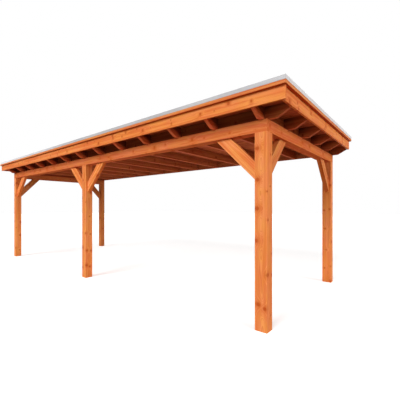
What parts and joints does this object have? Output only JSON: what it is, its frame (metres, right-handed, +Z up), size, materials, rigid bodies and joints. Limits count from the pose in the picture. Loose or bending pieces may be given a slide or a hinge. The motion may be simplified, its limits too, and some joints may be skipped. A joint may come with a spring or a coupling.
{
  "type": "attached patio cover",
  "caption": "Flat-roofed timber patio cover on square posts with angled braces, open joists, bevelled tails, fascia boards and an aluminium roof-edge trim, made to stand against a house wall.",
  "frame": {"origin": "centre of the bounding box at floor level", "axes": "+X along the front, to the right seen from outside; +Y back to the wall; +Z up"},
  "size_m": [8.104, 3.275, 2.678],
  "materials": {
    "post_timber": "planed softwood with an orange-brown stain, satin",
    "beam_timber": "planed softwood with an orange-brown stain, satin",
    "brace_timber": "planed softwood plank with an orange-brown stain, satin",
    "joist_timber": "planed softwood plank with a red-brown stain, satin",
    "deck_boards": "planed softwood boarding with a red-brown stain, satin",
    "fascia_timber": "planed softwood board with an orange-brown stain, satin",
    "membrane": "black rubber roofing sheet, matt",
    "edge_trim": "mill finish aluminium, satin"
  },
  "bodies": {
    "root": {"post_front_left": "post_timber", "post_front_middle": "post_timber", "post_front_right": "post_timber", "post_rear_left": "post_timber", "post_rear_right": "post_timber", "front_beam": "beam_timber", "left_beam": "beam_timber", "right_beam": "beam_timber", "brace_front_left": "brace_timber", "brace_middle_left": "brace_timber", "brace_middle_right": "brace_timber", "brace_front_right": "brace_timber", "brace_left_side_front": "brace_timber", "brace_left_side_rear": "brace_timber", "brace_right_side_front": "brace_timber", "brace_right_side_rear": "brace_timber", "joist_01": "joist_timber", "joist_02": "joist_timber", "joist_03": "joist_timber", "joist_04": "joist_timber", "joist_05": "joist_timber", "joist_06": "joist_timber", "joist_07": "joist_timber", "joist_08": "joist_timber", "joist_09": "joist_timber", "joist_10": "joist_timber", "joist_11": "joist_timber", "joist_12": "joist_timber", "joist_13": "joist_timber", "front_rim": "joist_timber", "wall_plate": "joist_timber", "front_tails": "joist_timber", "lookouts_left": "joist_timber", "lookouts_right": "joist_timber", "roof_deck": "deck_boards", "wall_upstand": "deck_boards", "fascia_front": "fascia_timber", "fascia_left": "fascia_timber", "fascia_right": "fascia_timber", "batten_front": "fascia_timber", "batten_left": "fascia_timber", "batten_right": "fascia_timber", "roof_membrane": "membrane", "edge_trim_front": "edge_trim", "edge_trim_left": "edge_trim", "edge_trim_right": "edge_trim"}
  },
  "joints": []
}
